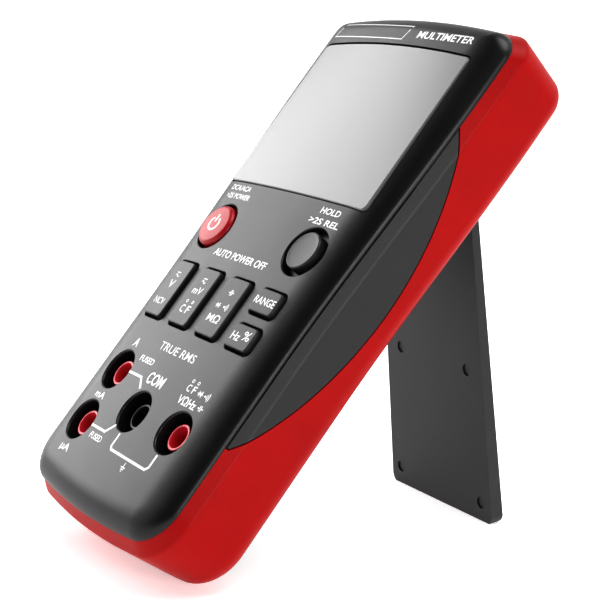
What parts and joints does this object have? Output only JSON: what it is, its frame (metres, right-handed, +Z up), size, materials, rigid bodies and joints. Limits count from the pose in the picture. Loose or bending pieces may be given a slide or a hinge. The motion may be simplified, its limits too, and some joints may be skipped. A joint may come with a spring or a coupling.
{
  "type": "handheld digital multimeter",
  "caption": "Handheld digital multimeter with a large display, push-button functions and recessed input jacks, leaning on its open tilt stand.",
  "frame": {"origin": "centre of the footprint on the surface the meter rests on, under the middle of the whole object", "axes": "+X to the right as seen from the front, +Y to the back, where the tilt stand is, +Z up; the face leans back, 51.2 degrees above the surface"},
  "size_m": [0.0906, 0.1325, 0.1526],
  "materials": {
    "case_black": "moulded satin black plastic",
    "bumper_red": "moulded satin red plastic",
    "grip_grey": "matte grey over-moulded grip",
    "window_clear": "clear polished display window",
    "lcd_glass": "blank reflective display",
    "light_white": "white plastic",
    "zebra_pink": "elastomer connector",
    "board_green": "coated circuit board",
    "component_black": "moulded black epoxy",
    "fuse_ceramic": "ceramic fuse body with end caps",
    "fuse_glass": "glass fuse body with end caps",
    "contact_brass": "plated brass contact",
    "shunt_copper": "drawn resistance wire",
    "varistor_blue": "dipped blue coating",
    "ptc_brown": "dipped brown coating",
    "jack_red": "moulded red insulator",
    "jack_black": "moulded black insulator",
    "steel": "plated steel",
    "stand_black": "moulded satin black plastic",
    "power_red": "satin red moulded key",
    "key_grey": "satin grey moulded key",
    "plunger_cream": "cream switch plunger",
    "cell_wrap": "plain wrapped cell",
    "legend_white": null
  },
  "bodies": {
    "meter_body": {"front_case": "case_black", "rear_case": "case_black", "bumper": "bumper_red", "grip_left": "grip_grey", "grip_right": "grip_grey", "lcd_window": "window_clear", "lcd_glass": "lcd_glass", "lcd_frame": "light_white", "backlight_panel": "light_white", "zebra_strip_lower": "zebra_pink", "zebra_strip_upper": "zebra_pink", "main_board": "board_green", "input_board": "board_green", "board_header": "component_black", "meter_chip": "component_black", "controller_chip": "component_black", "key_switches": "component_black", "buzzer": "component_black", "jack_wells": "case_black", "fuse_a": "fuse_ceramic", "fuse_ma": "fuse_glass", "fuse_clips": "contact_brass", "current_shunt": "shunt_copper", "varistors": "varistor_blue", "ptc_resistor": "ptc_brown", "jack_collar_a": "jack_red", "jack_collar_ma": "jack_red", "jack_collar_com": "jack_black", "jack_collar_v": "jack_red", "jack_sleeve_a": "contact_brass", "jack_sleeve_ma": "contact_brass", "jack_sleeve_com": "contact_brass", "jack_sleeve_v": "contact_brass", "battery_door": "case_black", "battery_door_screw": "steel", "battery_cell_1": "cell_wrap", "battery_cell_2": "cell_wrap", "battery_cell_3": "cell_wrap", "battery_cell_4": "cell_wrap", "battery_springs": "steel", "battery_plates": "steel", "case_screws": "steel", "board_screws": "steel"},
    "stand": {"tilt_stand": "stand_black", "stand_pin": "steel"},
    "power_key": {"power_button": "power_red", "power_plunger": "plunger_cream"},
    "hold_key": {"hold_button": "key_grey", "hold_plunger": "plunger_cream"},
    "volts_key": {"volts_button": "key_grey", "volts_plunger": "plunger_cream"},
    "millivolts_key": {"millivolts_button": "key_grey", "millivolts_plunger": "plunger_cream"},
    "ohms_key": {"ohms_button": "key_grey", "ohms_plunger": "plunger_cream"},
    "range_key": {"range_button": "key_grey", "range_plunger": "plunger_cream"},
    "hertz_key": {"hertz_button": "key_grey", "hertz_plunger": "plunger_cream"}
  },
  "joints": [
    {"name": "stand_hinge", "type": "hinge", "parent": "meter_body", "child": "stand", "pos_m": [0, 0.04392, 0.11353], "axis": [1, 0, 0], "range_deg": [-46.8, 0]},
    {"name": "power_press", "type": "slide", "parent": "meter_body", "child": "power_key", "axis": [0, 0.7793, -0.6266], "range_m": [0, 0.0008], "stiffness_N_per_m": 500, "springref_m": -0.0018},
    {"name": "hold_press", "type": "slide", "parent": "meter_body", "child": "hold_key", "axis": [0, 0.7793, -0.6266], "range_m": [0, 0.0008], "stiffness_N_per_m": 500, "springref_m": -0.0018},
    {"name": "volts_press", "type": "slide", "parent": "meter_body", "child": "volts_key", "axis": [0, 0.7793, -0.6266], "range_m": [0, 0.0008], "stiffness_N_per_m": 500, "springref_m": -0.0018},
    {"name": "millivolts_press", "type": "slide", "parent": "meter_body", "child": "millivolts_key", "axis": [0, 0.7793, -0.6266], "range_m": [0, 0.0008], "stiffness_N_per_m": 500, "springref_m": -0.0018},
    {"name": "ohms_press", "type": "slide", "parent": "meter_body", "child": "ohms_key", "axis": [0, 0.7793, -0.6266], "range_m": [0, 0.0008], "stiffness_N_per_m": 500, "springref_m": -0.0018},
    {"name": "range_press", "type": "slide", "parent": "meter_body", "child": "range_key", "axis": [0, 0.7793, -0.6266], "range_m": [0, 0.0008], "stiffness_N_per_m": 500, "springref_m": -0.0018},
    {"name": "hertz_press", "type": "slide", "parent": "meter_body", "child": "hertz_key", "axis": [0, 0.7793, -0.6266], "range_m": [0, 0.0008], "stiffness_N_per_m": 500, "springref_m": -0.0018}
  ]
}
